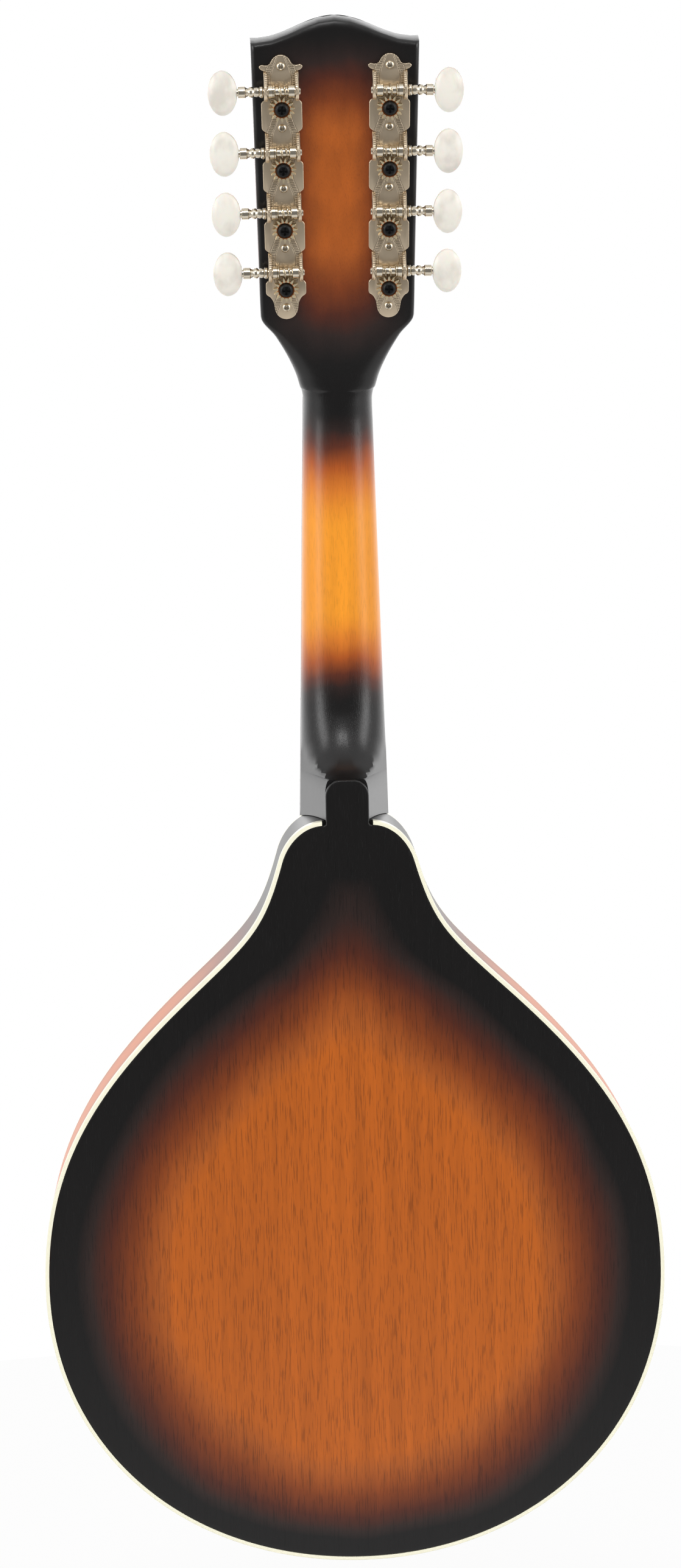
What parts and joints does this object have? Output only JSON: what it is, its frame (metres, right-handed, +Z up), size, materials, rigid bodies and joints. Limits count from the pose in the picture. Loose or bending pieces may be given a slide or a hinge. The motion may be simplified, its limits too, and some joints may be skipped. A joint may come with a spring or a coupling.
{
  "type": "a-style mandolin",
  "caption": "Teardrop-bodied plucked string instrument with a flat bound back, arched top with f-holes, slim neck, leaning headstock, open worm-gear tuners and a height-adjustable bridge.",
  "frame": {"origin": "on the centre line, at the nut end of the fingerboard, in the plane where the fingerboard is glued to the neck; the instrument hangs there", "axes": "+Z up the neck toward the headstock, +Y out of the flat back, +X to the treble side"},
  "size_m": [0.2604, 0.0928, 0.6481],
  "materials": {
    "burst_mahogany": "satin lacquer, dark at the edge and amber in the middle",
    "neck_mahogany": "satin lacquer, amber between dark ends",
    "burst_spruce": "satin lacquer",
    "inside_spruce": "bare wood",
    "cream_binding": "scraped and buffed",
    "rosewood": "oiled",
    "ebony": "polished",
    "black_gloss": "gloss",
    "bone": "smooth",
    "nickel": "polished nickel",
    "brass": "satin",
    "steel": "plain",
    "bronze": "wound",
    "pearloid": "pearled off-white"
  },
  "bodies": {
    "instrument": {"top_plate": "burst_spruce", "back_plate": "burst_mahogany", "rib_bass": "burst_mahogany", "rib_treble": "burst_mahogany", "binding_top": "cream_binding", "binding_back": "cream_binding", "neck_block": "inside_spruce", "tail_block": "inside_spruce", "tone_bar_bass": "inside_spruce", "tone_bar_treble": "inside_spruce", "back_brace_upper": "inside_spruce", "back_brace_lower": "inside_spruce", "neck": "neck_mahogany", "truss_rod": "steel", "headstock_overlay": "black_gloss", "truss_rod_cover": "black_gloss", "fingerboard": "rosewood", "nut": "bone", "tuner_plate_bass": "nickel", "tuner_plate_treble": "nickel", "string_g1": "bronze", "string_g2": "bronze", "string_d1": "bronze", "string_d2": "bronze", "string_a1": "steel", "string_a2": "steel", "string_e1": "steel", "string_e2": "steel", "bridge_foot": "ebony", "tailpiece_plate": "nickel", "tailpiece_cover": "nickel"},
    "key_1": {"worm_shaft_1": "nickel", "button_1": "pearloid"},
    "key_2": {"worm_shaft_2": "nickel", "button_2": "pearloid"},
    "key_3": {"worm_shaft_3": "nickel", "button_3": "pearloid"},
    "key_4": {"worm_shaft_4": "nickel", "button_4": "pearloid"},
    "key_5": {"worm_shaft_5": "nickel", "button_5": "pearloid"},
    "key_6": {"worm_shaft_6": "nickel", "button_6": "pearloid"},
    "key_7": {"worm_shaft_7": "nickel", "button_7": "pearloid"},
    "key_8": {"worm_shaft_8": "nickel", "button_8": "pearloid"},
    "post_1": {"tuner_post_1": "nickel"},
    "post_2": {"tuner_post_2": "nickel"},
    "post_3": {"tuner_post_3": "nickel"},
    "post_4": {"tuner_post_4": "nickel"},
    "post_5": {"tuner_post_5": "nickel"},
    "post_6": {"tuner_post_6": "nickel"},
    "post_7": {"tuner_post_7": "nickel"},
    "post_8": {"tuner_post_8": "nickel"},
    "saddle": {"bridge_saddle": "ebony"},
    "wheel_bass": {"thumbwheel_bass": "brass"},
    "wheel_treble": {"thumbwheel_treble": "brass"}
  },
  "joints": [
    {"name": "key_1_turn", "type": "hinge", "parent": "instrument", "child": "key_1", "pos_m": [-0.02104, 0.03486, 0.05115], "axis": [-1, -0.0026, -0.0088], "continuous": true},
    {"name": "key_2_turn", "type": "hinge", "parent": "instrument", "child": "key_2", "pos_m": [-0.02127, 0.04189, 0.07486], "axis": [-1, -0.0026, -0.0088], "continuous": true},
    {"name": "key_3_turn", "type": "hinge", "parent": "instrument", "child": "key_3", "pos_m": [-0.02149, 0.04891, 0.09857], "axis": [-1, -0.0026, -0.0088], "continuous": true},
    {"name": "key_4_turn", "type": "hinge", "parent": "instrument", "child": "key_4", "pos_m": [-0.02172, 0.05593, 0.12228], "axis": [-1, -0.0026, -0.0088], "continuous": true},
    {"name": "key_5_turn", "type": "hinge", "parent": "instrument", "child": "key_5", "pos_m": [0.02104, 0.03486, 0.05115], "axis": [1, -0.0026, -0.0088], "continuous": true},
    {"name": "key_6_turn", "type": "hinge", "parent": "instrument", "child": "key_6", "pos_m": [0.02127, 0.04189, 0.07486], "axis": [1, -0.0026, -0.0088], "continuous": true},
    {"name": "key_7_turn", "type": "hinge", "parent": "instrument", "child": "key_7", "pos_m": [0.02149, 0.04891, 0.09857], "axis": [1, -0.0026, -0.0088], "continuous": true},
    {"name": "key_8_turn", "type": "hinge", "parent": "instrument", "child": "key_8", "pos_m": [0.02172, 0.05593, 0.12228], "axis": [1, -0.0026, -0.0088], "continuous": true},
    {"name": "post_1_turn", "type": "hinge", "parent": "instrument", "child": "post_1", "pos_m": [-0.02097, 0.02859, 0.04545], "axis": [0, 0.9588, -0.284], "continuous": true},
    {"name": "post_2_turn", "type": "hinge", "parent": "instrument", "child": "post_2", "pos_m": [-0.0212, 0.03561, 0.06916], "axis": [0, 0.9588, -0.284], "continuous": true},
    {"name": "post_3_turn", "type": "hinge", "parent": "instrument", "child": "post_3", "pos_m": [-0.02143, 0.04263, 0.09287], "axis": [0, 0.9588, -0.284], "continuous": true},
    {"name": "post_4_turn", "type": "hinge", "parent": "instrument", "child": "post_4", "pos_m": [-0.02165, 0.04966, 0.11658], "axis": [0, 0.9588, -0.284], "continuous": true},
    {"name": "post_5_turn", "type": "hinge", "parent": "instrument", "child": "post_5", "pos_m": [0.02097, 0.02859, 0.04545], "axis": [0, 0.9588, -0.284], "continuous": true},
    {"name": "post_6_turn", "type": "hinge", "parent": "instrument", "child": "post_6", "pos_m": [0.0212, 0.03561, 0.06916], "axis": [0, 0.9588, -0.284], "continuous": true},
    {"name": "post_7_turn", "type": "hinge", "parent": "instrument", "child": "post_7", "pos_m": [0.02143, 0.04263, 0.09287], "axis": [0, 0.9588, -0.284], "continuous": true},
    {"name": "post_8_turn", "type": "hinge", "parent": "instrument", "child": "post_8", "pos_m": [0.02165, 0.04966, 0.11658], "axis": [0, 0.9588, -0.284], "continuous": true},
    {"name": "saddle_lift", "type": "slide", "parent": "instrument", "child": "saddle", "axis": [0, 1, 0], "range_m": [0, 0.002]},
    {"name": "wheel_bass_turn", "type": "hinge", "parent": "saddle", "child": "wheel_bass", "pos_m": [-0.029, -0.02694, -0.34857], "axis": [0, 1, 0], "range_deg": [0, 1028.6]},
    {"name": "wheel_treble_turn", "type": "hinge", "parent": "saddle", "child": "wheel_treble", "pos_m": [0.029, -0.02694, -0.34857], "axis": [0, 1, 0], "range_deg": [0, 1028.6]}
  ],
  "couplings": [
    {"joint": "post_1_turn", "follows": "key_1_turn", "ratio": 0.066667},
    {"joint": "post_2_turn", "follows": "key_2_turn", "ratio": 0.066667},
    {"joint": "post_3_turn", "follows": "key_3_turn", "ratio": 0.066667},
    {"joint": "post_4_turn", "follows": "key_4_turn", "ratio": 0.066667},
    {"joint": "post_5_turn", "follows": "key_5_turn", "ratio": -0.066667},
    {"joint": "post_6_turn", "follows": "key_6_turn", "ratio": -0.066667},
    {"joint": "post_7_turn", "follows": "key_7_turn", "ratio": -0.066667},
    {"joint": "post_8_turn", "follows": "key_8_turn", "ratio": -0.066667},
    {"joint": "wheel_bass_turn", "follows": "saddle_lift", "rad_per_m": 8976},
    {"joint": "wheel_treble_turn", "follows": "saddle_lift", "rad_per_m": 8976}
  ]
}
